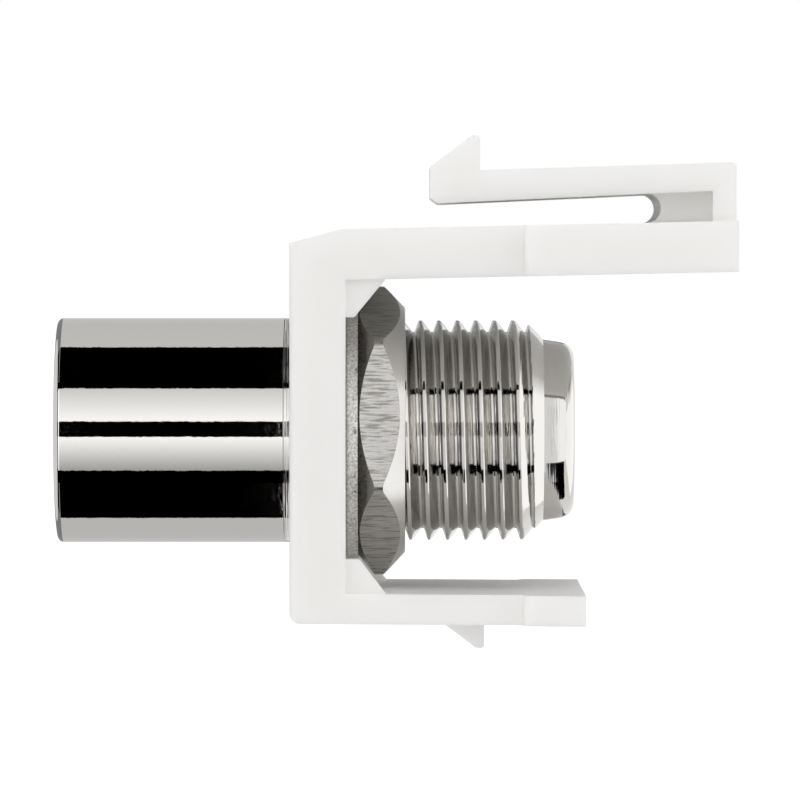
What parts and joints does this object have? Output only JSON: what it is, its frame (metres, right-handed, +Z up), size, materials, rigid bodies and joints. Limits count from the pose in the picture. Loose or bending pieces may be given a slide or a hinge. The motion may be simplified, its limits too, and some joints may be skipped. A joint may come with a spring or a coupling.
{
  "type": "coaxial keystone module",
  "caption": "Snap-in keystone frame with a panel-mount coaxial adaptor: smooth push-on plug sleeve in front, threaded screw-on port behind, clamped by a hex nut.",
  "frame": {"origin": "where the coaxial axis meets the plane of the frame's front face", "axes": "+X along the coaxial axis from the push-on plug in front to the screw-on port behind, +Z up towards the latch, +Y across the width"},
  "size_m": [0.0288, 0.016, 0.0216],
  "materials": {
    "white_abs": "moulded white ABS, satin",
    "nickel_plating": "bright nickel plating on brass",
    "nut_nickel": "nickel plating over drawn hexagon bar",
    "washer_steel": "nickel-plated spring steel with a sheared edge",
    "white_insulator": "moulded white insulating plastic",
    "contact_plating": "nickel plating on turned brass",
    "contact_bronze": "phosphor bronze"
  },
  "bodies": {
    "root": {"keystone_frame": "white_abs", "coupler_body": "nickel_plating", "plug_sleeve": "nickel_plating", "lock_washer": "washer_steel", "hex_nut": "nut_nickel", "front_insulator": "white_insulator", "rear_insulator": "white_insulator", "centre_pin": "contact_plating", "spring_socket": "contact_bronze"}
  },
  "joints": []
}
